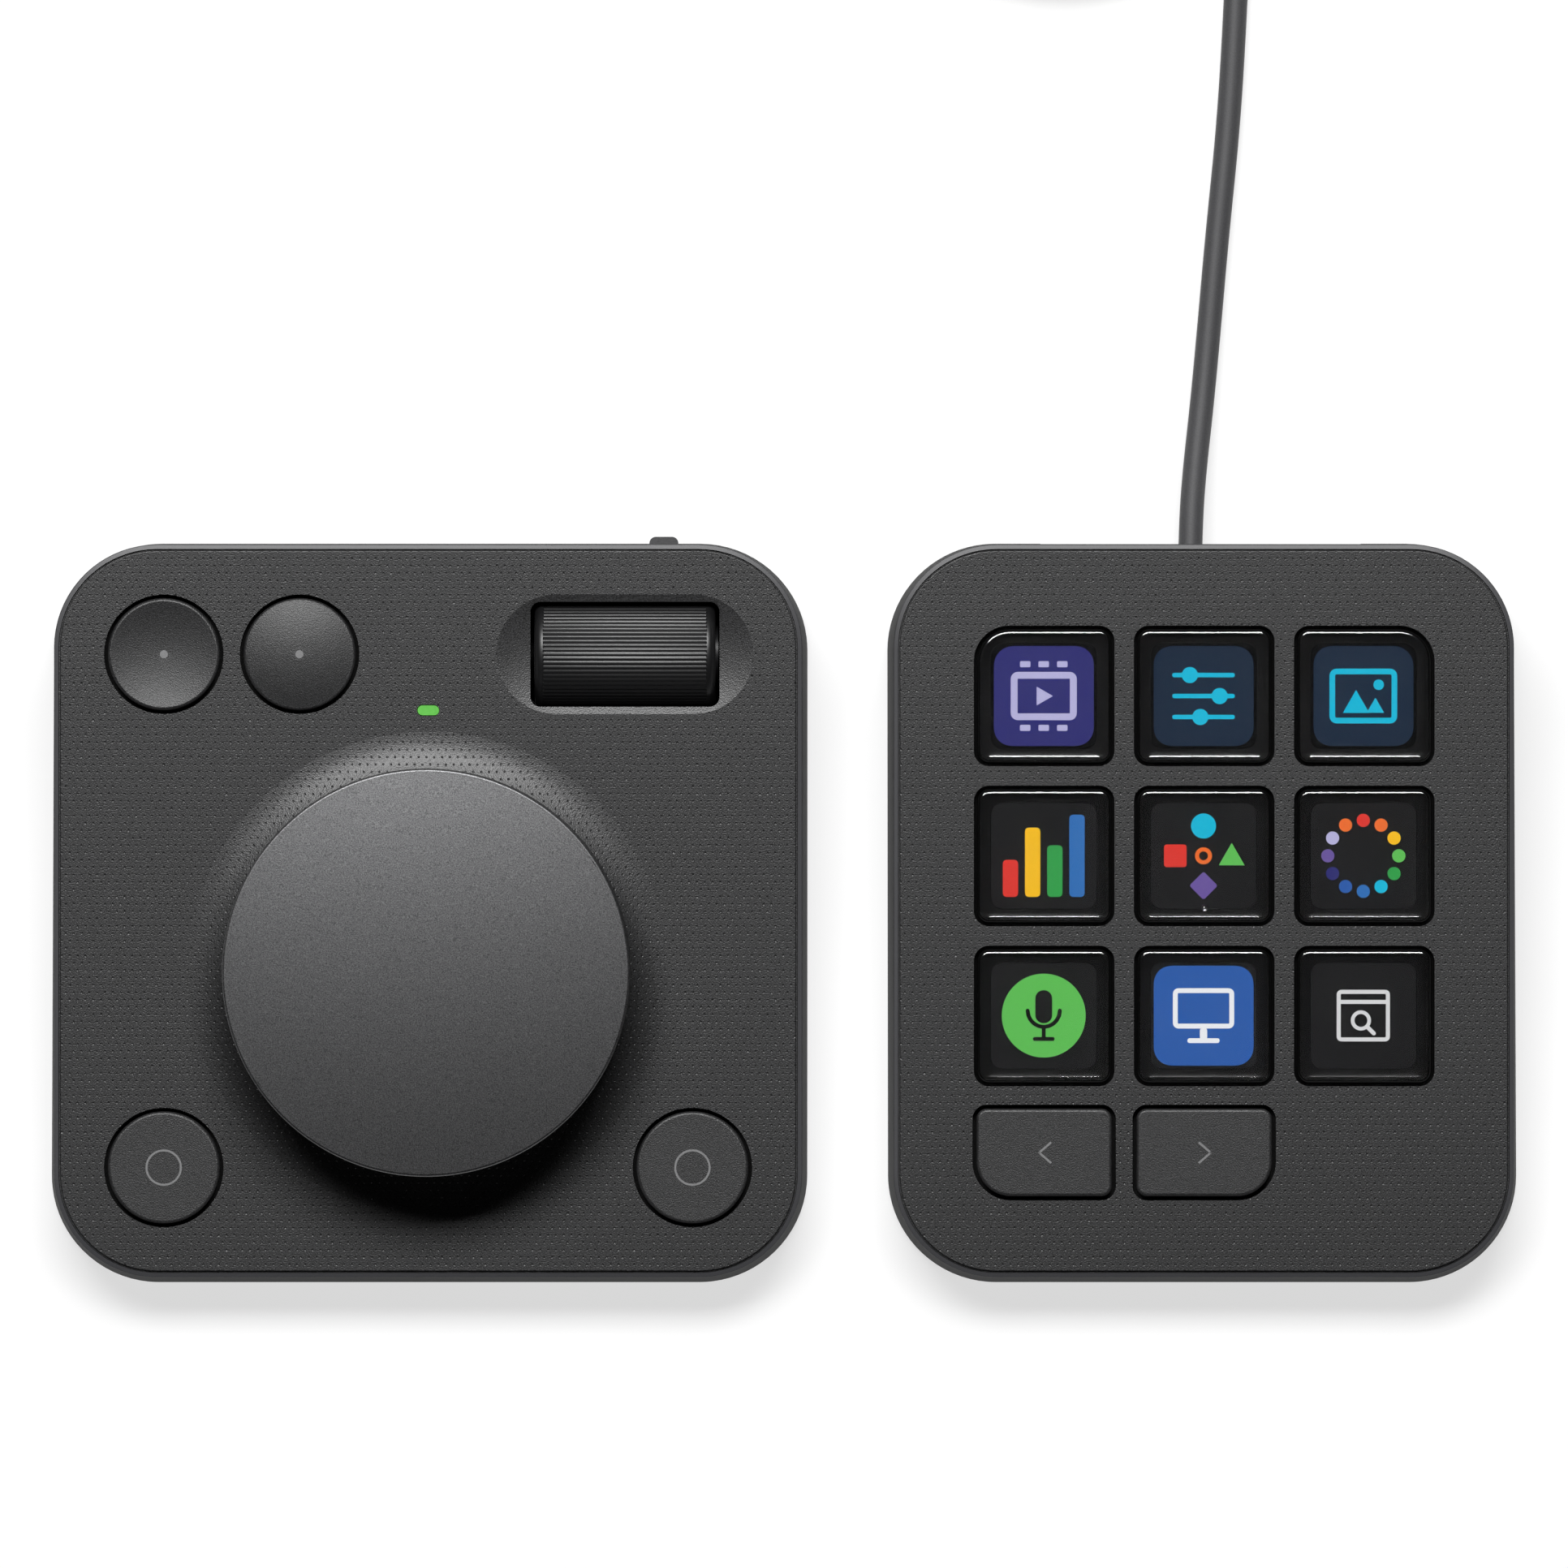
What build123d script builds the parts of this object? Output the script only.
from build123d import *
import os
from math import atan2, cos, pi, radians, sin, sqrt, tan

# Desk control set, in millimetres: a dial pad and a display keypad side by side, and the
# keypad's cable. +X is to the right, +Y to the rear and +Z up from the desk at z = 0.
# Both faces lie in one sloping plane, the deck: u runs right along it, v up its slope and
# w out of it, so w is 0 on the face plates and negative inside the shells.

os.makedirs("parts", exist_ok=True)

# ---- Sloping face and shells -------------------------------------------------------------
deck_tilt = 6.3
deck_height = 14.6
deck_setback = 1.2
plate_length = 89.16
dialpad_plate_width = 91.06
keypad_plate_width = 75.25
plate_corner = 12.0
plate_thickness = 1.6
plate_edge_round = 0.15
groove_width = 0.2
groove_depth = 0.3
groove_fit = 0.06
rim_width = 0.55
rim_drop = 0.09
rim_round = 0.12
shell_wall = 2.1
base_height = 1.2
base_thickness = 1.4
base_end_overhang = 1.67
base_overhang = 1.47
base_corner = 13.45
base_edge_round = 1.0
base_fit = 0.1
unit_gap = 9.87
cut_run = 1.0

# ---- Feet and screws ---------------------------------------------------------------------
foot_radius = 3.6
foot_recess = 0.2
foot_edge_round = 0.3
foot_fit = 0.05
foot_side_margin = 10.0
foot_end_margin = 8.25
post_radius = 2.2
screw_head_radius = 1.8
screw_head_height = 0.8
screw_head_sink = 0.1
screw_head_fit = 0.2
screw_radius = 1.0
screw_hole_fit = 0.15
screw_length = 5.4
screw_cross_width = 0.35
screw_cross_reach = 1.1
screw_cross_depth = 0.35
post_side_margin = 4.3
dialpad_post_ys = (-16.0, 5.4)
keypad_post_ys = (-30.0, 30.0)
standoff_radius = 1.2

# ---- Dial --------------------------------------------------------------------------------
dial_v = -7.5
knob_radius = 25.1
knob_top = 13.4
knob_clearance = 0.3
knob_edge_round = 0.35
knob_wall = 2.5
knob_roof = 2.2
top_disc_radius = 24.6
top_disc_thickness = 0.8
top_disc_crown = 0.9
top_disc_gap = 0.02
hub_radius = 7.0
hub_clearance = 0.8
collar_tuck = 0.6
collar_height = 1.1
collar_sweep = 5.2
shaft_radius = 3.0
shaft_reach = 2.7
bearing_wall = 3.0
bearing_top = 8.2
bearing_fit = 0.05
bearing_boss_wall = 3.0
code_wheel_radius = 8.0
code_wheel_thickness = 0.8
code_wheel_gap = 0.6
sensor_width = 4.0
sensor_depth = 3.0
sensor_gap = 0.35

# ---- Roller ------------------------------------------------------------------------------
roller_side_margin = 21.18
roller_w = -5.1
roller_radius = 7.05
roller_length = 22.4
roller_edge_round = 1.0
roller_window_gap = 0.5
roller_clearance = 0.35
roller_window_length = 13.0
roller_window_corner = 1.25
scoop_width = 31.8
scoop_length = 14.8
scoop_depth = 0.65
scoop_backing = 1.6
scoop_backing_margin = 1.0
axle_radius = 1.5
axle_overhang = 0.4
axle_fit = 0.05
ear_gap = 0.6
ear_thickness = 1.2
ear_width = 8.0
cradle_gap = 0.25
cradle_thickness = 0.8
roller_wheel_radius = 3.6
roller_wheel_thickness = 0.35

# ---- Round buttons, light and slide switch -----------------------------------------------
button_side_margin = 12.83
button_end_margin = 12.83
button_pitch = 16.8
button_crown = 0.6
button_radius = 6.95
button_gap = 0.45
button_rise = 0.25
button_edge_round = 0.4
button_flange = 0.6
button_flange_margin = 0.6
flange_gap = 0.15
button_stem_radius = 2.0
button_stem = 0.25
button_travel = 0.5
press_gap = 0.05
switch_size = 6.0
light_collar_gap = 2.62
light_width = 2.6
light_length = 1.2
light_gap = 0.1
light_recess = 0.1
button_board_w = -3.55
button_board_thickness = 0.6
button_board_reach = 8.8
button_board_light_reach = 1.7
button_board_front_margin = 0.4
button_board_rear_margin = 7.05
button_board_post_reach = 11.4
button_board_post_offset = 5.95
button_board_side_post_offset = 3.3
main_board_w = -4.6
board_thickness = 0.8
main_board_side_margin = 7.23
main_board_front_margin = 4.58
main_board_bay_gap = 1.2
main_board_front_post_u = 20.0
main_board_front_post_inset = 2.0
main_board_rear_post_side_inset = 2.3
main_board_rear_post_inset = 3.5
main_board_chips = ((-18.0, -20.0, 7.0, 7.0), (14.0, -28.0, 5.0, 4.0), (20.0, -12.0, 9.0, 5.0))
slider_side_margin = 16.43
slider_height = 8.5
slider_width = 3.6
slider_thickness = 2.4
slider_reach = 0.75
slider_travel = 2.5
slider_gap = 0.3
slider_corner = 0.8
slider_flange_width = 8.0
slider_flange_height = 3.8
slider_flange_thickness = 0.8
slider_wall_gap = 0.25
slider_body_width = 9.0
slider_body_depth = 2.0
slider_body_height = 3.0
slider_body_drop = 2.0
slider_body_gap = 0.2

# ---- Battery bay -------------------------------------------------------------------------
cell_radius = 5.25
cell_length = 44.5
cell_nub_radius = 1.9
cell_nub_length = 0.8
cell_gap = 0.3
cell_pair_gap = 0.7
cell_lift = 0.1
contact_reach = 2.4
contact_thickness = 0.5
contact_size = 8.0
contact_spring_radius = 2.67
contact_spring_taper = 8.0
bay_wall = 1.1
bay_roller_gap = 1.0
bay_wall_height = 6.4
bay_rear_wall_height = 3.8
door_thickness = 1.2
door_gap = 0.25
hook_width = 6.0
hook_spread = 26.0
hook_reach = 1.3
hook_thickness = 0.8
hook_gap = 0.1
hook_root = 1.35
hook_room = 0.9
finger_notch_width = 12.0
finger_notch_length = 2.2
finger_notch_depth = 0.5
finger_notch_margin = 2.2

# ---- Display keys and page keys ----------------------------------------------------------
key_pitch = 19.8
key_block_u = 0.05
key_block_v = 6.8
key_window = 17.4
key_corner = 1.9
key_big_corner = 4.4
key_gap = 0.45
key_rise = 0.7
key_edge_round = 0.55
key_flange = 0.9
key_flange_margin = 0.5
key_travel = 1.5
key_guide_gap = 0.3
key_guide_border = 0.6
key_nub_radius = 0.45
key_nub_height = 0.25
key_nub_offset = -6.45
mat_thickness = 0.4
mat_border = 1.9
display_border = 1.8
display_thickness = 1.6
backlight_thickness = 1.0
page_key_spacing = 2.27
page_window_width = 17.75
page_window_length = 11.85
page_corner = 1.8
page_big_corner = 4.8
page_key_gap = 0.5
page_key_rise = 0.45
page_edge_round = 0.4
page_flange_margin = 0.45
page_stem_radius = 2.5
page_stem = 0.55
page_travel = 0.8
page_switch_height = 1.5
page_board_side_margin = 6.62
page_board_right = 11.5
page_board_front_reach = 9.3
page_board_rear_reach = 4.7
page_board_post_us = (-24.0, -14.0, 5.0)
page_board_post_reach = 8.0
keypad_board_width = 60.0
keypad_board_front = -22.0
keypad_board_rear = 15.0
keypad_board_chips = ((-16.0, -6.0, 10.0, 10.0), (12.0, -8.0, 6.0, 8.0), (22.0, 2.0, 4.0, 4.0))
chip_height = 0.9

# ---- Cable bay, socket and plugs ---------------------------------------------------------
cable_bay_width = 40.0
cable_bay_front = 20.0
cable_bay_roof = 8.3
cable_bay_wall = 1.2
cable_bay_roof_thickness = 1.1
cable_bay_fit = 0.1
cable_bay_rear_gap = 0.45
roof_tongue_setback = 0.25
socket_u = -1.33
socket_height = 4.9
socket_width = 9.0
socket_depth = 7.3
socket_thickness = 3.2
socket_corner = 1.44
socket_wall = 0.3
socket_back = 0.6
socket_fit = 0.1
tongue_width = 6.6
tongue_thickness = 0.7
tongue_gap = 1.2
usb_board_width = 16.0
usb_board_front = 6.0
plug_shell_width = 8.25
plug_shell_thickness = 2.4
plug_shell_corner = 1.18
plug_shell_length = 6.7
plug_shell_wall = 0.65
plug_shell_depth = 6.0
plug_insertion = 6.4
grip_width = 10.6
grip_thickness = 6.0
grip_length = 20.0
grip_corner = 2.4
grip_edge_round = 0.6
relief_length = 4.0
relief_radius = 2.7
relief_tip_radius = 2.0

# ---- Cable -------------------------------------------------------------------------------
cable_radius = 1.5
bend_share = 0.45
lead_route = (
    (50.72, 49.2, 4.65),
    (51.25, 55.6, 3.3),
    (52.2, 63.8, 1.95),
    (53.1, 73.2, 1.56),
    (54.15, 85.0, 1.55),
    (55.6, 98.8, 1.56),
    (56.5, 113.0, 1.55),
    (57.05, 126.5, 1.56),
    (56.9, 137.5, 1.55),
)
coil_center = (34.35, 141.8)
coil_turn_radius = 22.65
coil_turn_pitch = 3.1
coil_columns = 4
coil_layers = 3
tail_route = (
    (40.3, 163.6, 4.65),
    (31.0, 166.6, 4.1),
    (20.3, 167.2, 2.8),
    (10.1, 168.2, 3.1),
    (1.4, 170.4, 3.1),
)

# ---- Places worked out from the sizes ----------------------------------------------------
deck = Plane(
    origin=(0, -deck_setback, deck_height),
    x_dir=(1, 0, 0),
    z_dir=(0, -sin(radians(deck_tilt)), cos(radians(deck_tilt))),
)
deck_axis = Axis((0, 0, 0), deck.z_dir)
base_length = plate_length + 2 * base_end_overhang
dialpad_width = dialpad_plate_width + 2 * base_overhang
keypad_width = keypad_plate_width + 2 * base_overhang
set_width = dialpad_width + unit_gap + keypad_width
dialpad_x = -set_width / 2 + dialpad_width / 2
keypad_x = set_width / 2 - keypad_width / 2
base_top = base_height + base_thickness
plate_back_w = -plate_thickness
rim_offset = groove_width + rim_width
flange_top_w = plate_back_w - flange_gap
button_flange_w = flange_top_w - button_flange
button_stem_w = button_flange_w - button_stem
switch_top_w = button_stem_w - button_travel - press_gap
key_flange_w = flange_top_w - key_flange
mat_top_w = key_flange_w - key_travel - press_gap
display_top_w = mat_top_w - mat_thickness
display_back_w = display_top_w - display_thickness
backlight_back_w = display_back_w - backlight_thickness
keypad_board_back_w = backlight_back_w - board_thickness
page_stem_w = key_flange_w - page_stem
page_board_w = page_stem_w - page_travel - press_gap - page_switch_height
page_key_v = key_block_v - key_pitch - key_window / 2 - page_key_spacing - page_window_length / 2
knob_bottom = collar_height + knob_clearance
collar_inner = knob_radius - collar_tuck
collar_outer = collar_inner + collar_sweep
light_v = dial_v + collar_outer + light_collar_gap

# The round buttons and the roller stand at set distances from the plate's edges; each
# button has its u, its v and how far its top bows out
button_u = dialpad_plate_width / 2 - button_side_margin
button_v = plate_length / 2 - button_end_margin
button_places = {
    "rear_left": (-button_u, button_v, -button_crown),
    "rear_middle": (-button_u + button_pitch, button_v, button_crown),
    "front_left": (-button_u, -button_v, 0.0),
    "front_right": (button_u, -button_v, 0.0),
}
roller_u = dialpad_plate_width / 2 - roller_side_margin
roller_v = button_v
slider_u = dialpad_plate_width / 2 - slider_side_margin


def deck_plane(u, v, w):
    """Plane parallel to the faces through the deck's point (u, v, w)."""
    origin = deck.from_local_coords(Vector(u, v, w))
    return Plane(origin=origin, x_dir=deck.x_dir, z_dir=deck.z_dir)


def turning_plane(u, v, w):
    """Upright section plane at a deck point: x runs right and y out of the face."""
    origin = deck.from_local_coords(Vector(u, v, w))
    return Plane(origin=origin, x_dir=deck.x_dir, z_dir=-deck.y_dir)


def side_plane(u, v, w):
    """Plane square to X through the deck's point (u, v, w): x runs up the slope."""
    origin = deck.from_local_coords(Vector(u, v, w))
    return Plane(origin=origin, x_dir=deck.y_dir, z_dir=(1, 0, 0))


def face_height(y):
    """Height of the face plates above the desk at a distance y from the middle."""
    return deck_height + (y + deck_setback) * tan(radians(deck_tilt))


def rear_wall_y(height):
    """Where the outside of the rear wall stands at a height above the desk."""
    rim = deck.from_local_coords(Vector(0, plate_length / 2 + rim_offset, 0))
    share = (height - base_height) / (rim.Z - base_height)
    return base_length / 2 + share * (rim.Y - base_length / 2)


def finish(builder, name):
    """Label a finished piece and write its file."""
    builder.part.label = name
    export_step(builder.part, f"parts/{name}.step")


# ---- Shapes used by several pieces -------------------------------------------------------
def block(low, high, mode=Mode.ADD):
    """Upright box between two corners."""
    with BuildSketch(Plane.XY.offset(low[2])) as outline:
        with Locations(((low[0] + high[0]) / 2, (low[1] + high[1]) / 2)):
            Rectangle(high[0] - low[0], high[1] - low[1])
    extrude(outline.sketch, amount=high[2] - low[2], mode=mode)


def deck_slab(u, v, width, length, bottom_w, top_w, corner=0.0, mode=Mode.ADD):
    """Plate parallel to the faces, centred on (u, v)."""
    with BuildSketch(deck_plane(u, v, bottom_w)) as outline:
        if corner > 0:
            RectangleRounded(width, length, corner)
        else:
            Rectangle(width, length)
    extrude(outline.sketch, amount=top_w - bottom_w, mode=mode)


def deck_disc(u, v, radius, bottom_w, top_w, mode=Mode.ADD):
    """Round plate or hole square to the faces."""
    with BuildSketch(deck_plane(u, v, bottom_w)) as outline:
        Circle(radius)
    extrude(outline.sketch, amount=top_w - bottom_w, mode=mode)


def upright_disc(x, y, radius, bottom, top, mode=Mode.ADD):
    """Round post or hole square to the desk."""
    with BuildSketch(Plane.XY.offset(bottom)) as outline:
        with Locations((x, y)):
            Circle(radius)
    extrude(outline.sketch, amount=top - bottom, mode=mode)


def turned(plane, points, mode=Mode.ADD):
    """Ring or disc turned about the plane's own y axis from its half profile."""
    with BuildSketch(plane) as profile:
        with BuildLine():
            Polyline(*points, close=True)
        make_face()
    revolve(profile.sketch, axis=Axis(plane.origin, plane.y_dir), mode=mode)


def dome(plane, radius, crown, mode=Mode.ADD):
    """Cap of a ball round the plane's y axis; a negative crown makes it a dish."""
    crest = (0, crown)
    edge = (radius, 0)
    with BuildSketch(plane) as profile:
        with BuildLine():
            Polyline(edge, (0, 0), crest)
            TangentArc(crest, edge, tangent=(1, 0))
        make_face()
    revolve(profile.sketch, axis=Axis(plane.origin, plane.y_dir), mode=mode)


def plate_outline(plate_width, beyond):
    """Outline that runs a set distance outside a face plate."""
    RectangleRounded(plate_width + 2 * beyond, plate_length + 2 * beyond, plate_corner + beyond)


def shell_block(center_x, plate_width, inset, top_w, mode=Mode.ADD):
    """Wedge between an outline parallel to the face and one parallel to the desk."""
    with BuildSketch(deck_plane(center_x, 0, top_w)) as upper:
        plate_outline(plate_width, rim_offset - inset)
    with BuildSketch(Plane((center_x, 0, base_height))) as lower:
        RectangleRounded(
            plate_width + 2 * (base_overhang - inset), base_length - 2 * inset, base_corner - inset
        )
    loft([lower.sketch.face(), upper.sketch.face()], ruled=True, mode=mode)


def key_outline(plane, width, length, corner, big_corner, big_radius):
    """Rounded rectangle; the corner towards big_corner, if any, has its own radius."""
    with BuildSketch(plane) as outline:
        RectangleRounded(width, length, corner)
        if big_corner is not None:
            shift = (-big_corner[0] * big_radius, -big_corner[1] * big_radius)
            wide = width + 2 * big_radius
            long = length + 2 * big_radius
            with Locations(shift):
                RectangleRounded(wide, long, big_radius, mode=Mode.INTERSECT)
    return outline.sketch


# ---- Shells of both units ----------------------------------------------------------------
def make_housing(center_x, plate_width):
    """Side shell: drafted wall with a seat for the face plate and an open underside."""
    with BuildPart() as housing:
        shell_block(center_x, plate_width, 0, -rim_drop)
        # The rim slopes gently outwards, down to the wall
        with BuildSketch(deck_plane(center_x, 0, -rim_drop)) as outer:
            plate_outline(plate_width, rim_offset)
        with BuildSketch(deck_plane(center_x, 0, 0)) as inner:
            plate_outline(plate_width, groove_width)
        loft([outer.sketch.face(), inner.sketch.face()], ruled=True)
        fillet(housing.edges().group_by(deck_axis)[-3], rim_round)
        fillet(housing.faces().sort_by(Axis.Z)[0].edges(), base_edge_round)
        with BuildSketch(deck_plane(center_x, 0, plate_back_w)) as seat:
            plate_outline(plate_width, groove_width)
        extrude(seat.sketch, amount=cut_run - plate_back_w, mode=Mode.SUBTRACT)
        shell_block(center_x, plate_width, shell_wall, plate_back_w, Mode.SUBTRACT)
    return housing


def foot_places(center_x, plate_width):
    """Middles of a unit's four feet."""
    reach_x = plate_width / 2 + base_overhang - foot_side_margin
    reach_y = base_length / 2 - foot_end_margin
    return [(center_x + sx * reach_x, sy * reach_y) for sx in (-1, 1) for sy in (-1, 1)]


def post_places(center_x, plate_width, ys):
    """Middles of a unit's four screw posts."""
    reach_x = plate_width / 2 - post_side_margin
    return [(center_x + sx * reach_x, y) for sx in (-1, 1) for y in ys]


def add_base_plate(center_x, plate_width, post_ys):
    """Base plate inside the shell, with seats for the feet and the screws."""
    shell_block(center_x, plate_width, shell_wall + base_fit, plate_back_w)
    split(bisect_by=Plane.XY.offset(base_top), keep=Keep.BOTTOM)
    for x, y in foot_places(center_x, plate_width):
        seat = foot_radius + foot_fit
        upright_disc(x, y, seat, base_height, base_height + foot_recess, Mode.SUBTRACT)
    for x, y in post_places(center_x, plate_width, post_ys):
        head_seat = base_height + screw_head_sink + screw_head_height
        head_hole = screw_head_radius + screw_head_fit
        upright_disc(x, y, head_hole, base_height, head_seat, Mode.SUBTRACT)
        upright_disc(x, y, screw_radius + screw_hole_fit, base_height, base_top, Mode.SUBTRACT)


def add_face_plate(cover, center_x, plate_width):
    """Face plate with softened edges, and a step round it that closes the groove below."""
    deck_slab(center_x, 0, plate_width, plate_length, plate_back_w, 0, plate_corner)
    fillet(cover.faces().sort_by(deck_axis)[-1].edges(), plate_edge_round)
    with BuildSketch(deck_plane(center_x, 0, plate_back_w)) as step:
        plate_outline(plate_width, groove_width - groove_fit)
    extrude(step.sketch, amount=-groove_depth - plate_back_w)


def add_posts(center_x, plate_width, post_ys):
    """Screw posts from the face plate down to the base plate, with pilot holes."""
    pilot_top = base_height + screw_head_sink + screw_head_height + screw_length
    for x, y in post_places(center_x, plate_width, post_ys):
        inside_plate = face_height(y) - plate_thickness / 2
        upright_disc(x, y, post_radius, base_top, inside_plate)
        upright_disc(x, y, screw_radius, base_top, pilot_top, Mode.SUBTRACT)


def make_feet(center_x, plate_width):
    """Four rubber feet."""
    with BuildPart() as feet:
        for x, y in foot_places(center_x, plate_width):
            upright_disc(x, y, foot_radius, 0, base_height + foot_recess)
        fillet(feet.faces().group_by(Axis.Z)[0].edges(), foot_edge_round)
    return feet


def make_screws(center_x, plate_width, post_ys):
    """Four pan-head screws with cross recesses."""
    with BuildPart() as screws:
        for x, y in post_places(center_x, plate_width, post_ys):
            head_bottom = base_height + screw_head_sink
            head_top = head_bottom + screw_head_height
            upright_disc(x, y, screw_head_radius, head_bottom, head_top)
            upright_disc(x, y, screw_radius, head_top, head_top + screw_length)
            cross_top = head_bottom + screw_cross_depth
            for reach_x, reach_y in (
                (screw_cross_reach, screw_cross_width / 2), (screw_cross_width / 2, screw_cross_reach)
            ):
                low = (x - reach_x, y - reach_y, head_bottom)
                high = (x + reach_x, y + reach_y, cross_top)
                block(low, high, Mode.SUBTRACT)
    return screws


# ---- Dial pad: shells --------------------------------------------------------------------
dialpad_housing = make_housing(dialpad_x, dialpad_plate_width)
slider_x = dialpad_x + slider_u
slider_wall_y = rear_wall_y(slider_height)
with dialpad_housing:
    block(
        (
            slider_x - slider_width / 2 - slider_travel - slider_gap,
            slider_wall_y - 2 * shell_wall,
            slider_height - slider_thickness / 2 - slider_gap,
        ),
        (
            slider_x + slider_width / 2 + slider_gap,
            slider_wall_y + shell_wall,
            slider_height + slider_thickness / 2 + slider_gap,
        ),
        Mode.SUBTRACT,
    )
finish(dialpad_housing, "dialpad_housing")

roller_x = dialpad_x + roller_u


def roller_disc(from_u, to_u, radius, mode=Mode.ADD):
    """Round bar on the roller's axis between two distances from its middle."""
    with BuildSketch(side_plane(roller_x + from_u, roller_v, roller_w)) as outline:
        Circle(radius)
    extrude(outline.sketch, amount=to_u - from_u, mode=mode)


bearing_radius = shaft_radius + bearing_fit + bearing_wall
boss_radius = bearing_radius + bearing_boss_wall
window_width = roller_length + 2 * roller_window_gap
backing_w = plate_back_w - scoop_backing

# Battery bay: cells lie along X, side by side, above the door and in front of the roller
roller_axis_y = deck.from_local_coords(Vector(roller_x, roller_v, roller_w)).Y
bay_length_x = cell_length + 2 * (contact_reach + contact_thickness)
bay_left = dialpad_x - bay_length_x / 2
bay_right = dialpad_x + bay_length_x / 2
bay_rear = roller_axis_y - ear_width / 2 - bay_roller_gap - bay_wall
bay_front = bay_rear - 2 * cell_gap - 4 * cell_radius - cell_pair_gap

# The boards' edges and the standoffs that hold them
main_board_width = dialpad_plate_width - 2 * main_board_side_margin
main_board_front = -plate_length / 2 + main_board_front_margin
main_board_rear = bay_front - bay_wall + deck_setback - main_board_bay_gap
main_board_front_post_v = main_board_front + main_board_front_post_inset
main_board_rear_post_u = main_board_width / 2 - main_board_rear_post_side_inset
main_board_rear_post_v = main_board_rear - main_board_rear_post_inset
main_board_posts = [
    (-main_board_front_post_u, main_board_front_post_v),
    (main_board_front_post_u, main_board_front_post_v),
    (-main_board_rear_post_u, main_board_rear_post_v),
    (main_board_rear_post_u, main_board_rear_post_v),
]
button_board_left = -button_u - button_board_reach
button_board_right = light_width / 2 + button_board_light_reach
button_board_front = light_v - light_length / 2 - button_board_front_margin
button_board_rear = button_v + button_board_rear_margin
middle_button_u = button_places["rear_middle"][0]
button_board_post_u = middle_button_u - button_pitch / 2
button_board_posts = [
    (button_board_post_u, button_v + button_board_post_offset),
    (button_board_post_u, button_v - button_board_post_offset),
    (middle_button_u + button_board_post_reach, button_v + button_board_side_post_offset),
]

with BuildPart() as dialpad_top_cover:
    add_face_plate(dialpad_top_cover, dialpad_x, dialpad_plate_width)
    # Collar that sweeps up to the dial and in under its rim
    with BuildSketch(turning_plane(dialpad_x, dial_v, 0)) as collar:
        with BuildLine():
            foot = (collar_outer, 0)
            crest = (collar_inner, collar_height)
            TangentArc(foot, crest, tangent=(-1, 0))
            Polyline(crest, (collar_inner, plate_back_w / 2), (collar_outer, plate_back_w / 2), foot)
        make_face()
    dial_axis = Axis(collar.workplanes[0].origin, deck.z_dir)
    revolve(collar.sketch, axis=dial_axis)
    # Tube that holds the dial's bearing
    deck_disc(dialpad_x, dial_v, boss_radius, plate_back_w, bearing_top)
    deck_disc(dialpad_x, dial_v, bearing_radius, plate_back_w, bearing_top, Mode.SUBTRACT)
    # Round button holes
    for u, v, crown in button_places.values():
        hole = button_radius + button_gap
        deck_disc(dialpad_x + u, v, hole, plate_back_w, 0, Mode.SUBTRACT)
    # Light window
    with BuildSketch(deck_plane(dialpad_x, light_v, plate_back_w)) as light_hole:
        SlotOverall(light_width + 2 * light_gap, light_length + 2 * light_gap)
    extrude(light_hole.sketch, amount=plate_thickness, mode=Mode.SUBTRACT)
    # Roller scoop, its backing and its window
    backing_width = scoop_width + 2 * scoop_backing_margin
    backing_length = scoop_length + 2 * scoop_backing_margin
    with BuildSketch(deck_plane(dialpad_x + roller_u, roller_v, backing_w)) as backing:
        SlotOverall(backing_width, backing_length)
    extrude(backing.sketch, amount=scoop_backing)
    scoop_half = scoop_length / 2
    scoop_straight = scoop_width - scoop_length
    scoop_left = dialpad_x + roller_u - scoop_straight / 2
    with BuildSketch(side_plane(scoop_left, roller_v, 0)) as scoop:
        with BuildLine():
            ThreePointArc((-scoop_half, 0), (0, -scoop_depth), (scoop_half, 0))
            Line((scoop_half, 0), (-scoop_half, 0))
        make_face()
    extrude(scoop.sketch, amount=scoop_straight, mode=Mode.SUBTRACT)
    for u in (scoop_left, scoop_left + scoop_straight):
        dome(turning_plane(u, roller_v, 0), scoop_half, -scoop_depth, Mode.SUBTRACT)
    deck_slab(
        dialpad_x + roller_u, roller_v, window_width, roller_window_length,
        backing_w, 0, roller_window_corner, Mode.SUBTRACT,
    )
    roller_disc(-window_width / 2, window_width / 2, roller_radius + roller_clearance, Mode.SUBTRACT)
    # Screw posts and board standoffs
    add_posts(dialpad_x, dialpad_plate_width, dialpad_post_ys)
    for u, v in main_board_posts:
        deck_disc(dialpad_x + u, v, standoff_radius, main_board_w, plate_back_w)
    for u, v in button_board_posts:
        deck_disc(dialpad_x + u, v, standoff_radius, button_board_w, plate_back_w)
finish(dialpad_top_cover, "dialpad_top_cover")

bay_wall_top = base_top + bay_wall_height
front_cell_y = bay_front + cell_gap + cell_radius
rear_cell_y = bay_rear - cell_gap - cell_radius
cell_height = base_height + door_thickness + cell_lift + cell_radius
hook_bottom = base_top + hook_gap
hook_top = hook_bottom + hook_thickness
hook_xs = [dialpad_x + side * hook_spread / 2 for side in (-1, 1)]

# The slide switch's flange keeps clear of the leaning rear wall along its whole height
flange_bottom = slider_height - slider_flange_height / 2
flange_top = slider_height + slider_flange_height / 2
flange_rear = min(rear_wall_y(flange_bottom), rear_wall_y(flange_top)) - shell_wall - slider_wall_gap
slider_body_rear = flange_rear - slider_flange_thickness - slider_body_gap
slider_body_middle = slider_height - slider_body_drop
slider_body_bottom = slider_body_middle - slider_body_height / 2

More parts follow.
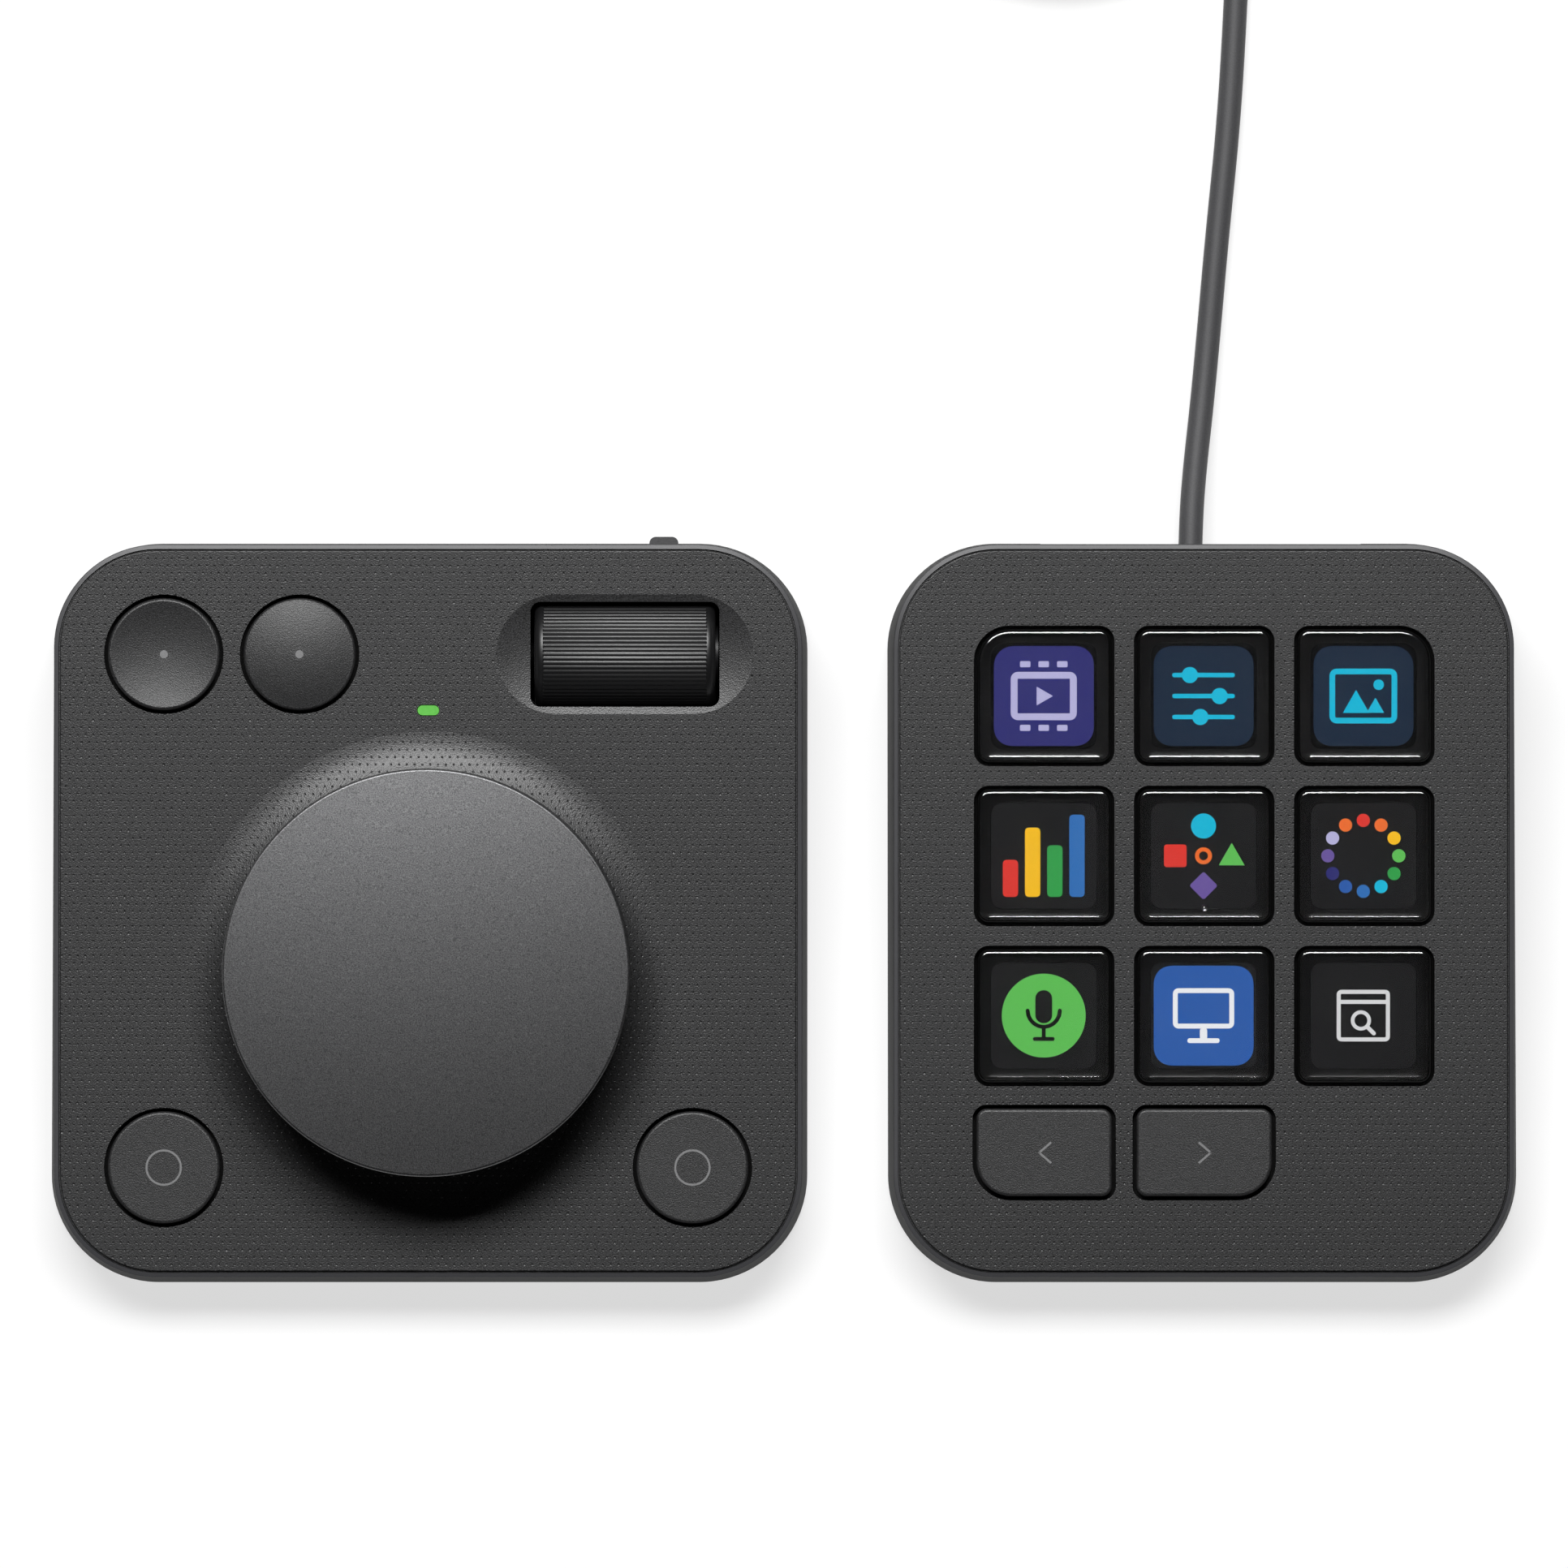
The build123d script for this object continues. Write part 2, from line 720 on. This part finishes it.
with BuildPart() as dialpad_base:
    add_base_plate(dialpad_x, dialpad_plate_width, dialpad_post_ys)
    block(
        (bay_left - bay_wall, bay_front - bay_wall, base_top),
        (bay_right + bay_wall, bay_rear + bay_wall, bay_wall_top),
    )
    block((bay_left, bay_front, base_height), (bay_right, bay_rear, bay_wall_top), Mode.SUBTRACT)
    # The bay's rear wall is lower, under the roller
    block(
        (bay_left - bay_wall, bay_rear, base_top + bay_rear_wall_height),
        (bay_right + bay_wall, bay_rear + bay_wall, bay_wall_top),
        Mode.SUBTRACT,
    )
    for hook_x in hook_xs:
        block(
            (hook_x - hook_width / 2 - door_gap, bay_front - bay_wall, base_top),
            (hook_x + hook_width / 2 + door_gap, bay_front, hook_top + hook_room),
            Mode.SUBTRACT,
        )
    # Pillar under the slide switch
    block(
        (slider_x - slider_body_width / 2, slider_body_rear - slider_body_depth, base_top),
        (slider_x + slider_body_width / 2, slider_body_rear, slider_body_bottom),
    )
finish(dialpad_base, "dialpad_base")

dialpad_feet = make_feet(dialpad_x, dialpad_plate_width)
finish(dialpad_feet, "dialpad_feet")
dialpad_screws = make_screws(dialpad_x, dialpad_plate_width, dialpad_post_ys)
finish(dialpad_screws, "dialpad_screws")

door_front = bay_front + door_gap
door_top = base_height + door_thickness
with BuildPart() as battery_door:
    block(
        (bay_left + door_gap, door_front, base_height),
        (bay_right - door_gap, bay_rear - door_gap, door_top),
    )
    for hook_x in hook_xs:
        left = hook_x - hook_width / 2
        right = hook_x + hook_width / 2
        block((left, door_front, door_top), (right, door_front + hook_root, hook_top))
        block((left, door_front - hook_reach, hook_bottom), (right, door_front, hook_top))
    # Shallow notch for a fingertip
    notch_rear = bay_rear - door_gap - finger_notch_margin
    notch_top = base_height + finger_notch_depth
    block(
        (dialpad_x - finger_notch_width / 2, notch_rear - finger_notch_length, base_height),
        (dialpad_x + finger_notch_width / 2, notch_rear, notch_top),
        Mode.SUBTRACT,
    )
finish(battery_door, "battery_door")

# Each cell: its axis and the side its positive end points to
cell_rows = ((front_cell_y, 1), (rear_cell_y, -1))
with BuildPart() as battery_cells:
    for y, side in cell_rows:
        tail_x = dialpad_x - side * cell_length / 2
        with BuildSketch(Plane((tail_x, y, cell_height), z_dir=(side, 0, 0))) as can:
            Circle(cell_radius)
        extrude(can.sketch, amount=cell_length - cell_nub_length)
        with BuildSketch(Plane((tail_x, y, cell_height), z_dir=(side, 0, 0))) as nub:
            Circle(cell_nub_radius)
        extrude(nub.sketch, amount=cell_length)
finish(battery_cells, "battery_cells")

# Contact plates at both ends of each cell, with a tapered spring or bump that meets the cell
with BuildPart() as battery_contacts:
    for y, side in cell_rows:
        for end in (-1, 1):
            wall_x = bay_left if end < 0 else bay_right
            low_x = min(wall_x, wall_x - end * contact_thickness)
            block(
                (low_x, y - contact_size / 2, cell_height - contact_size / 2),
                (low_x + contact_thickness, y + contact_size / 2, cell_height + contact_size / 2),
            )
            spring_plane = Plane((wall_x - end * contact_thickness, y, cell_height), z_dir=(-end, 0, 0))
            spring_radius = contact_spring_radius if end != side else cell_nub_radius
            with BuildSketch(spring_plane) as spring:
                Circle(spring_radius)
            extrude(spring.sketch, amount=contact_reach, taper=contact_spring_taper)
finish(battery_contacts, "battery_contacts")

# ---- Dial pad: dial ----------------------------------------------------------------------
dial_section = turning_plane(dialpad_x, dial_v, 0)
knob_ceiling = knob_top - knob_roof
hub_bottom = bearing_top + hub_clearance
disc_seat = knob_top - top_disc_thickness
shaft_top = knob_ceiling + (disc_seat - knob_ceiling) / 2
code_wheel_top = plate_back_w - code_wheel_gap
code_wheel_bottom = code_wheel_top - code_wheel_thickness
shaft_bottom = plate_back_w - shaft_reach

with BuildPart() as dial_knob:
    disc_hole = top_disc_radius + top_disc_gap
    turned(
        dial_section,
        [
            (0, hub_bottom), (hub_radius, hub_bottom), (hub_radius, knob_ceiling),
            (knob_radius - knob_wall, knob_ceiling), (knob_radius - knob_wall, knob_bottom),
            (knob_radius, knob_bottom), (knob_radius, knob_top), (disc_hole, knob_top),
            (disc_hole, disc_seat), (0, disc_seat),
        ],
    )
    top_edges = dial_knob.edges().filter_by(GeomType.CIRCLE).group_by(deck_axis)[-1]
    fillet(top_edges.sort_by(SortBy.RADIUS)[-1], knob_edge_round)
    deck_disc(dialpad_x, dial_v, shaft_radius, hub_bottom, shaft_top, Mode.SUBTRACT)
finish(dial_knob, "dial_knob")

with BuildPart() as dial_top_disc:
    deck_disc(dialpad_x, dial_v, top_disc_radius, disc_seat, knob_top)
    dome(turning_plane(dialpad_x, dial_v, knob_top), top_disc_radius, top_disc_crown)
finish(dial_top_disc, "dial_top_disc")

with BuildPart() as dial_shaft:
    deck_disc(dialpad_x, dial_v, shaft_radius, shaft_bottom, shaft_top)
finish(dial_shaft, "dial_shaft")

with BuildPart() as dial_bearing:
    deck_disc(dialpad_x, dial_v, bearing_radius, plate_back_w, bearing_top)
    deck_disc(dialpad_x, dial_v, shaft_radius + bearing_fit, plate_back_w, bearing_top, Mode.SUBTRACT)
finish(dial_bearing, "dial_bearing")

with BuildPart() as dial_code_wheel:
    deck_disc(dialpad_x, dial_v, code_wheel_radius, code_wheel_bottom, code_wheel_top)
    deck_disc(dialpad_x, dial_v, shaft_radius, code_wheel_bottom, code_wheel_top, Mode.SUBTRACT)
finish(dial_code_wheel, "dial_code_wheel")

with BuildPart() as dial_sensor:
    sensor_u = dialpad_x + code_wheel_radius - sensor_width / 2
    sensor_top = code_wheel_bottom - sensor_gap
    deck_slab(sensor_u, dial_v, sensor_width, sensor_depth, main_board_w, sensor_top)
finish(dial_sensor, "dial_sensor")

# ---- Dial pad: roller --------------------------------------------------------------------
ear_inner = roller_length / 2 + ear_gap
ear_outer = ear_inner + ear_thickness
with BuildPart() as roller:
    roller_disc(-roller_length / 2, roller_length / 2, roller_radius)
    fillet(roller.edges().filter_by(GeomType.CIRCLE), roller_edge_round)
    roller_disc(-roller_length / 2, roller_length / 2, axle_radius, Mode.SUBTRACT)
finish(roller, "roller")

with BuildPart() as roller_axle:
    roller_disc(-ear_outer - axle_overhang, ear_outer + axle_overhang, axle_radius)
finish(roller_axle, "roller_axle")

with BuildPart() as roller_code_wheel:
    wheel_left = roller_length / 2
    wheel_right = wheel_left + roller_wheel_thickness
    roller_disc(wheel_left, wheel_right, roller_wheel_radius)
    roller_disc(wheel_left, wheel_right, axle_radius, Mode.SUBTRACT)
finish(roller_code_wheel, "roller_code_wheel")

cradle_top = roller_w - roller_radius - cradle_gap
cradle_bottom = cradle_top - cradle_thickness
with BuildPart() as roller_bracket:
    deck_slab(roller_x, roller_v, 2 * ear_outer, ear_width, cradle_bottom, backing_w)
    deck_slab(roller_x, roller_v, 2 * ear_inner, ear_width, cradle_top, backing_w, 0, Mode.SUBTRACT)
    roller_disc(-ear_outer, ear_outer, axle_radius + axle_fit, Mode.SUBTRACT)
finish(roller_bracket, "roller_bracket")


# ---- Dial pad: buttons, light, boards and slide switch -----------------------------------
def make_round_button(u, v, crown):
    """Round cap with a flange and a stem; its top bows out by crown, or in if negative."""
    flange_radius = button_radius + button_flange_margin + button_gap
    with BuildPart() as button:
        turned(
            turning_plane(dialpad_x + u, v, 0),
            [
                (0, button_stem_w), (button_stem_radius, button_stem_w),
                (button_stem_radius, button_flange_w), (flange_radius, button_flange_w),
                (flange_radius, flange_top_w), (button_radius, flange_top_w),
                (button_radius, button_rise), (0, button_rise),
            ],
        )
        fillet(button.edges().filter_by(GeomType.CIRCLE).group_by(deck_axis)[-1], button_edge_round)
        if crown != 0:
            crown_radius = button_radius - button_edge_round
            crown_mode = Mode.ADD if crown > 0 else Mode.SUBTRACT
            dome(turning_plane(dialpad_x + u, v, button_rise), crown_radius, crown, crown_mode)
    return button


for place, (u, v, crown) in button_places.items():
    finish(make_round_button(u, v, crown), f"round_button_{place}")

with BuildPart() as button_switches:
    for u, v, crown in button_places.values():
        switch_seat = button_board_w if v > 0 else main_board_w
        deck_slab(dialpad_x + u, v, switch_size, switch_size, switch_seat, switch_top_w)
finish(button_switches, "button_switches")

with BuildPart() as button_board:
    deck_slab(
        dialpad_x + (button_board_left + button_board_right) / 2,
        (button_board_front + button_board_rear) / 2,
        button_board_right - button_board_left, button_board_rear - button_board_front,
        button_board_w - button_board_thickness, button_board_w,
    )
finish(button_board, "button_board")

with BuildPart() as dialpad_main_board:
    board_middle_v = (main_board_front + main_board_rear) / 2
    board_length = main_board_rear - main_board_front
    board_back_w = main_board_w - board_thickness
    deck_slab(dialpad_x, board_middle_v, main_board_width, board_length, board_back_w, main_board_w)
    for u, v, width, length in main_board_chips:
        deck_slab(dialpad_x + u, v, width, length, board_back_w - chip_height, board_back_w)
finish(dialpad_main_board, "dialpad_main_board")

with BuildPart() as light_window:
    with BuildSketch(deck_plane(dialpad_x, light_v, button_board_w)) as light_outline:
        SlotOverall(light_width, light_length)
    extrude(light_outline.sketch, amount=-light_recess - button_board_w)
finish(light_window, "light_window")

with BuildPart() as power_switch_knob:
    tip_y = slider_wall_y + slider_reach
    block(
        (slider_x - slider_width / 2, flange_rear, slider_height - slider_thickness / 2),
        (slider_x + slider_width / 2, tip_y, slider_height + slider_thickness / 2),
    )
    tip_edges = power_switch_knob.edges().filter_by(Axis.Z).group_by(Axis.Y)[-1]
    fillet(tip_edges, slider_corner)
    block(
        (slider_x - slider_flange_width / 2, flange_rear - slider_flange_thickness, flange_bottom),
        (slider_x + slider_flange_width / 2, flange_rear, flange_top),
    )
finish(power_switch_knob, "power_switch_knob")

with BuildPart() as power_switch_body:
    block(
        (slider_x - slider_body_width / 2, slider_body_rear - slider_body_depth, slider_body_bottom),
        (
            slider_x + slider_body_width / 2,
            slider_body_rear,
            slider_body_bottom + slider_body_height,
        ),
    )
finish(power_switch_body, "power_switch_body")

# ---- Keypad: shells ----------------------------------------------------------------------
bay_half = cable_bay_width / 2
roof_top = cable_bay_roof + cable_bay_roof_thickness
roof_wall_y = rear_wall_y(roof_top)
cable_bay_rear = roof_wall_y - shell_wall - cable_bay_rear_gap
roof_tongue_rear = roof_wall_y - roof_tongue_setback
keypad_housing = make_housing(keypad_x, keypad_plate_width)
with keypad_housing:
    block(
        (keypad_x - bay_half, cable_bay_front, base_height - base_edge_round),
        (keypad_x + bay_half, base_length, roof_top + cable_bay_fit),
        Mode.SUBTRACT,
    )
finish(keypad_housing, "keypad_housing")

# The nine display keys, numbered by rows from the rear left; outer rear corners are larger
display_keys = {}
for number in range(9):
    row, column = divmod(number, 3)
    key_u = keypad_x + key_block_u + (column - 1) * key_pitch
    key_v = key_block_v + (1 - row) * key_pitch
    key_big = {0: (-1, 1), 2: (1, 1)}.get(number)
    display_keys[number + 1] = (key_u, key_v, key_big)
page_keys = {
    "left": (keypad_x + key_block_u - key_pitch, (-1, -1)),
    "right": (keypad_x + key_block_u, (1, -1)),
}

with BuildPart() as keypad_top_cover:
    add_face_plate(keypad_top_cover, keypad_x, keypad_plate_width)
    for key_u, key_v, key_big in display_keys.values():
        window = key_outline(
            deck_plane(key_u, key_v, plate_back_w),
            key_window, key_window, key_corner, key_big, key_big_corner,
        )
        extrude(window, amount=plate_thickness, mode=Mode.SUBTRACT)
    for key_u, key_big in page_keys.values():
        window = key_outline(
            deck_plane(key_u, page_key_v, plate_back_w),
            page_window_width, page_window_length, page_corner, key_big, page_big_corner,
        )
        extrude(window, amount=plate_thickness, mode=Mode.SUBTRACT)
    add_posts(keypad_x, keypad_plate_width, keypad_post_ys)
    for u in page_board_post_us:
        page_post_v = page_key_v - page_board_post_reach
        deck_disc(keypad_x + u, page_post_v, standoff_radius, page_board_w, plate_back_w)
finish(keypad_top_cover, "keypad_top_cover")

socket_x = keypad_x + socket_u
socket_bottom = socket_height - socket_thickness / 2
with BuildPart() as keypad_base:
    add_base_plate(keypad_x, keypad_plate_width, keypad_post_ys)
    block(
        (keypad_x - bay_half, cable_bay_front, base_height),
        (keypad_x + bay_half, base_length, base_top),
        Mode.SUBTRACT,
    )
    block(
        (keypad_x - bay_half - cable_bay_wall, cable_bay_front - cable_bay_wall, base_top),
        (keypad_x + bay_half + cable_bay_wall, cable_bay_rear, roof_top),
    )
    block(
        (keypad_x - bay_half, cable_bay_front, base_height),
        (keypad_x + bay_half, base_length, cable_bay_roof),
        Mode.SUBTRACT,
    )
    block(
        (keypad_x - bay_half + cable_bay_fit, cable_bay_rear, cable_bay_roof),
        (keypad_x + bay_half - cable_bay_fit, roof_tongue_rear, roof_top),
    )
    # Window for the socket's mouth in the front wall of the cable bay
    block(
        (
            socket_x - socket_width / 2 - socket_fit,
            cable_bay_front - cable_bay_wall,
            socket_bottom - socket_fit,
        ),
        (
            socket_x + socket_width / 2 + socket_fit,
            cable_bay_front,
            socket_bottom + socket_thickness + socket_fit,
        ),
        Mode.SUBTRACT,
    )
finish(keypad_base, "keypad_base")

keypad_feet = make_feet(keypad_x, keypad_plate_width)
finish(keypad_feet, "keypad_feet")
keypad_screws = make_screws(keypad_x, keypad_plate_width, keypad_post_ys)
finish(keypad_screws, "keypad_screws")


# ---- Keypad: keys ------------------------------------------------------------------------
def make_key(u, v, width, length, corner, big_corner, big_radius, gap, margin, rise, edge_round):
    """Key cap that stands in its window on a wider flange below the face plate."""
    with BuildPart() as key:
        cap = key_outline(
            deck_plane(u, v, flange_top_w),
            width - 2 * gap, length - 2 * gap, corner - gap, big_corner, big_radius - gap,
        )
        extrude(cap, amount=rise - flange_top_w)
        fillet(key.faces().sort_by(deck_axis)[-1].edges(), edge_round)
        flange = key_outline(
            deck_plane(u, v, key_flange_w),
            width + 2 * margin, length + 2 * margin, corner + margin, big_corner, big_radius + margin,
        )
        extrude(flange, amount=key_flange)
    return key


for number, (key_u, key_v, key_big) in display_keys.items():
    display_key = make_key(
        key_u, key_v, key_window, key_window, key_corner, key_big, key_big_corner,
        key_gap, key_flange_margin, key_rise, key_edge_round,
    )
    if number == 5:
        with display_key:
            deck_disc(key_u, key_v + key_nub_offset, key_nub_radius, 0, key_rise + key_nub_height)
    finish(display_key, f"display_key_{number}")

for side, (key_u, key_big) in page_keys.items():
    page_key = make_key(
        key_u, page_key_v, page_window_width, page_window_length, page_corner, key_big,
        page_big_corner, page_key_gap, page_flange_margin, page_key_rise, page_edge_round,
    )
    with page_key:
        deck_disc(key_u, page_key_v, page_stem_radius, page_stem_w, key_flange_w)
    finish(page_key, f"page_key_{side}")

# ---- Keypad: what lies under the keys ----------------------------------------------------
flange_size = key_window + 2 * key_flange_margin
guide_window = flange_size + 2 * key_guide_gap
guide_size = 2 * key_pitch + guide_window + 2 * key_guide_border
mat_window = key_window - 2 * mat_border
display_size = 2 * key_pitch + key_window + 2 * display_border
block_u = keypad_x + key_block_u
with BuildPart() as key_guide_frame:
    deck_slab(block_u, key_block_v, guide_size, guide_size, mat_top_w, plate_back_w)
    for key_u, key_v, key_big in display_keys.values():
        deck_slab(
            key_u, key_v, guide_window, guide_window,
            mat_top_w, plate_back_w, key_corner, Mode.SUBTRACT,
        )
finish(key_guide_frame, "key_guide_frame")

with BuildPart() as key_mat:
    deck_slab(block_u, key_block_v, guide_size, guide_size, display_top_w, mat_top_w)
    for key_u, key_v, key_big in display_keys.values():
        deck_slab(
            key_u, key_v, mat_window, mat_window,
            display_top_w, mat_top_w, key_corner, Mode.SUBTRACT,
        )
finish(key_mat, "key_mat")

with BuildPart() as display_panel:
    deck_slab(block_u, key_block_v, display_size, display_size, display_back_w, display_top_w)
finish(display_panel, "display_panel")

with BuildPart() as display_backlight:
    deck_slab(block_u, key_block_v, display_size, display_size, backlight_back_w, display_back_w)
finish(display_backlight, "display_backlight")

with BuildPart() as keypad_main_board:
    deck_slab(
        keypad_x, (keypad_board_front + keypad_board_rear) / 2,
        keypad_board_width, keypad_board_rear - keypad_board_front,
        keypad_board_back_w, backlight_back_w,
    )
    for u, v, width, length in keypad_board_chips:
        chip_back_w = keypad_board_back_w - chip_height
        deck_slab(keypad_x + u, v, width, length, chip_back_w, keypad_board_back_w)
finish(keypad_main_board, "keypad_main_board")

with BuildPart() as page_key_board:
    page_board_left = page_board_side_margin - keypad_plate_width / 2
    page_board_front = page_key_v - page_board_front_reach
    page_board_rear = page_key_v + page_board_rear_reach
    deck_slab(
        keypad_x + (page_board_left + page_board_right) / 2,
        (page_board_front + page_board_rear) / 2,
        page_board_right - page_board_left, page_board_rear - page_board_front,
        page_board_w - board_thickness, page_board_w,
    )
finish(page_key_board, "page_key_board")

with BuildPart() as page_key_switches:
    for key_u, key_big in page_keys.values():
        switch_top = page_board_w + page_switch_height
        deck_slab(key_u, page_key_v, switch_size, switch_size, page_board_w, switch_top)
finish(page_key_switches, "page_key_switches")

# ---- Keypad: socket ----------------------------------------------------------------------
socket_mouth = cable_bay_front
with BuildPart() as usb_board:
    block(
        (socket_x - usb_board_width / 2, usb_board_front, base_top),
        (socket_x + usb_board_width / 2, cable_bay_front - cable_bay_wall, socket_bottom),
    )
finish(usb_board, "usb_board")


def mouth_plane(y, height):
    """Plane square to Y that looks rearwards, at the socket's middle."""
    return Plane((socket_x, y, height), x_dir=(1, 0, 0), z_dir=(0, 1, 0))


with BuildPart() as usb_socket:
    socket_rear = socket_mouth - socket_depth
    hollow_start = socket_rear + socket_back
    with BuildSketch(mouth_plane(socket_rear, socket_height)) as socket_outline:
        RectangleRounded(socket_width, socket_thickness, socket_corner)
    extrude(socket_outline.sketch, amount=socket_depth)
    hollow_thickness = socket_thickness - 2 * socket_wall
    with BuildSketch(mouth_plane(hollow_start, socket_height)) as socket_hollow:
        RectangleRounded(socket_width - 2 * socket_wall, hollow_thickness, socket_corner - socket_wall)
    extrude(socket_hollow.sketch, amount=socket_depth - socket_back, mode=Mode.SUBTRACT)
    with BuildSketch(mouth_plane(hollow_start, socket_height)) as tongue:
        Rectangle(tongue_width, tongue_thickness)
    extrude(tongue.sketch, amount=socket_depth - socket_back - tongue_gap)
finish(usb_socket, "usb_socket")


# ---- Plugs -------------------------------------------------------------------------------
def offset_plane(plane, distance):
    """The plug's section plane moved along the plug."""
    return Plane(plane.origin + plane.z_dir * distance, x_dir=plane.x_dir, z_dir=plane.z_dir)


def make_plug_shell(tip):
    """Hollow metal shell from its open tip back to the grip."""
    with BuildPart() as shell:
        with BuildSketch(tip) as outline:
            RectangleRounded(plug_shell_width, plug_shell_thickness, plug_shell_corner)
        extrude(outline.sketch, amount=plug_shell_length)
        hollow_width = plug_shell_width - 2 * plug_shell_wall
        hollow_thickness = plug_shell_thickness - 2 * plug_shell_wall
        with BuildSketch(tip) as opening:
            RectangleRounded(hollow_width, hollow_thickness, plug_shell_corner - plug_shell_wall)
        extrude(opening.sketch, amount=plug_shell_depth, mode=Mode.SUBTRACT)
    return shell


def make_plug_grip(tip):
    """Moulded grip with a tapered strain relief."""
    start = offset_plane(tip, plug_shell_length)
    rear = offset_plane(start, grip_length)
    with BuildPart() as grip:
        with BuildSketch(start) as outline:
            RectangleRounded(grip_width, grip_thickness, grip_corner)
        extrude(outline.sketch, amount=grip_length)
        fillet(grip.faces().filter_by(Axis(start.origin, start.z_dir)).edges(), grip_edge_round)
        taper = atan2(relief_radius - relief_tip_radius, relief_length) * 180 / pi
        with BuildSketch(rear) as relief:
            Circle(relief_radius)
        extrude(relief.sketch, amount=relief_length, taper=taper)
    return grip


keypad_plug_tip = mouth_plane(socket_mouth - plug_insertion, socket_height)
plug_length = plug_shell_length + grip_length + relief_length
lead_start = keypad_plug_tip.origin + keypad_plug_tip.z_dir * plug_length
finish(make_plug_shell(keypad_plug_tip), "plug_shell_keypad")
finish(make_plug_grip(keypad_plug_tip), "plug_grip_keypad")

# The far plug points away along the tail's last run
tail_end = Vector(*tail_route[-1])
tail_direction = (tail_end - Vector(*tail_route[-2])).normalized()
far_tip = Plane(
    tail_end + tail_direction * plug_length,
    x_dir=tail_direction.cross(Vector(0, 0, 1)),
    z_dir=-tail_direction,
)
finish(make_plug_shell(far_tip), "plug_shell_far")
finish(make_plug_grip(far_tip), "plug_grip_far")


# ---- Cable -------------------------------------------------------------------------------
def bend_radii(points):
    """Each corner's radius: a share of its shorter run over the tangent of half its turn."""
    radii = []
    for before, corner, after in zip(points, points[1:], points[2:]):
        run_in = corner - before
        run_out = after - corner
        half_turn = radians(run_in.get_angle(run_out) / 2)
        radii.append(bend_share * min(run_in.length, run_out.length) / tan(half_turn))
    return radii


def make_tube(points, name):
    """Round tube along straight runs joined by tangent arcs; prints its radii."""
    radii = bend_radii(points)
    with BuildPart() as tube:
        with BuildLine() as route:
            FilletPolyline(*points, radius=radii)
        start = Plane(points[0], z_dir=points[1] - points[0])
        with BuildSketch(start) as section:
            Circle(cable_radius)
        sweep(section.sketch, path=route.wire())
    length = route.wire().length
    expected = pi * cable_radius ** 2 * length
    print(name, "radii", [round(radius, 1) for radius in radii])
    print(name, "length", round(length, 1), "volume", round(tube.part.volume, 1), round(expected, 1))
    return tube


lead_points = [lead_start] + [Vector(*point) for point in lead_route]
finish(make_tube(lead_points, "cable_lead"), "cable_lead")
tail_points = [Vector(*point) for point in tail_route]
finish(make_tube(tail_points, "cable_tail"), "cable_tail")

coil_outer = coil_turn_radius + coil_turn_pitch / 2
coil_inner = coil_outer - coil_columns * coil_turn_pitch
coil_height = coil_layers * coil_turn_pitch
with BuildPart() as cable_coil:
    upright_disc(*coil_center, coil_outer, 0, coil_height)
    upright_disc(*coil_center, coil_inner, 0, coil_height, Mode.SUBTRACT)
finish(cable_coil, "cable_coil")
coil_turns = [coil_turn_radius - index * coil_turn_pitch for index in range(coil_columns)]
print("coil length", round(2 * pi * sum(coil_turns) * coil_layers, 1))
